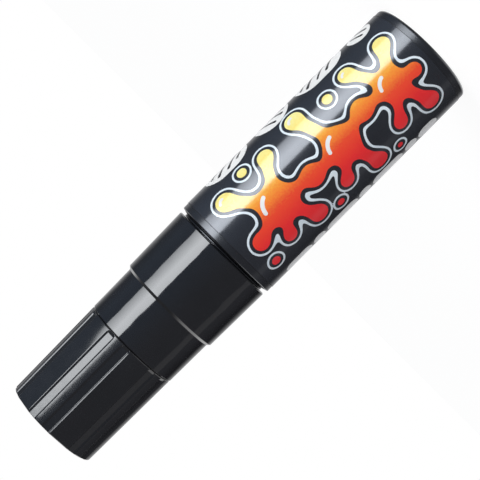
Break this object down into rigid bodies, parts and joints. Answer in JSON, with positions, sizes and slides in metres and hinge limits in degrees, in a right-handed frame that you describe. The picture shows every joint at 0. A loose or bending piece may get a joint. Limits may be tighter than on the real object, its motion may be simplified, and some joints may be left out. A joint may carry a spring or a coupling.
{
  "type": "paint marker",
  "caption": "Broad-tip pump-valve paint marker: straight bottle with a printed film, stepped screw-on front section, sprung chisel nib and a push-on cap with grip channels.",
  "frame": {"origin": "centre of the bottle's base, on the surface that the marker stands on", "axes": "+Z along the marker's axis from the base to the cap; the pictured side faces -Y"},
  "size_m": [0.034, 0.034, 0.1499],
  "materials": {
    "bottle_plastic": "semi-gloss black",
    "label_film": "printed film, satin black ground",
    "front_plastic": "high-gloss black",
    "cap_plastic": "satin black with a fine grain",
    "holder_plastic": "satin dark grey",
    "valve_plastic": "natural white",
    "liner_plastic": "soft natural white",
    "gasket_plastic": "soft foam",
    "seal_rubber": "matt black",
    "nib_felt": "unused pressed felt",
    "spring_steel": "stainless wire",
    "ball_steel": "polished steel"
  },
  "bodies": {
    "bottle": {"barrel": "bottle_plastic", "label_sleeve": "label_film"},
    "ball_1": {"mixing_ball_1": "ball_steel"},
    "ball_2": {"mixing_ball_2": "ball_steel"},
    "gasket": {"neck_gasket": "gasket_plastic"},
    "front": {"front_section": "front_plastic", "nib_holder": "holder_plastic", "valve_body": "valve_plastic", "valve_cage": "valve_plastic", "valve_seal": "seal_rubber", "valve_spring": "spring_steel"},
    "pump": {"nib": "nib_felt", "valve_stem": "valve_plastic"},
    "cap": {"cap": "cap_plastic", "cap_liner": "liner_plastic"}
  },
  "joints": [
    {"name": "ball_1_slide", "type": "slide", "parent": "bottle", "child": "ball_1", "axis": [0, 0, 1], "range_m": [0, 0.073]},
    {"name": "ball_2_slide", "type": "slide", "parent": "bottle", "child": "ball_2", "axis": [0, 0, 1], "range_m": [0, 0.073]},
    {"name": "front_lift", "type": "slide", "parent": "bottle", "child": "gasket", "axis": [0, 0, 1], "range_m": [0, 0.008]},
    {"name": "front_turn", "type": "hinge", "parent": "gasket", "child": "front", "pos_m": [0, 0, 0.092], "axis": [0, 0, 1], "range_deg": [0, 720]},
    {"name": "nib_press", "type": "slide", "parent": "front", "child": "pump", "axis": [0, 0, -1], "range_m": [0, 0.0025], "stiffness_N_per_m": 400, "springref_m": -0.004, "deforming": ["valve_spring"]},
    {"name": "cap_pull", "type": "slide", "parent": "front", "child": "cap", "axis": [0, 0, 1], "range_m": [0, 0.04]}
  ],
  "couplings": [
    {"joint": "front_lift", "follows": "front_turn", "m_per_rad": 0.00063656}
  ]
}
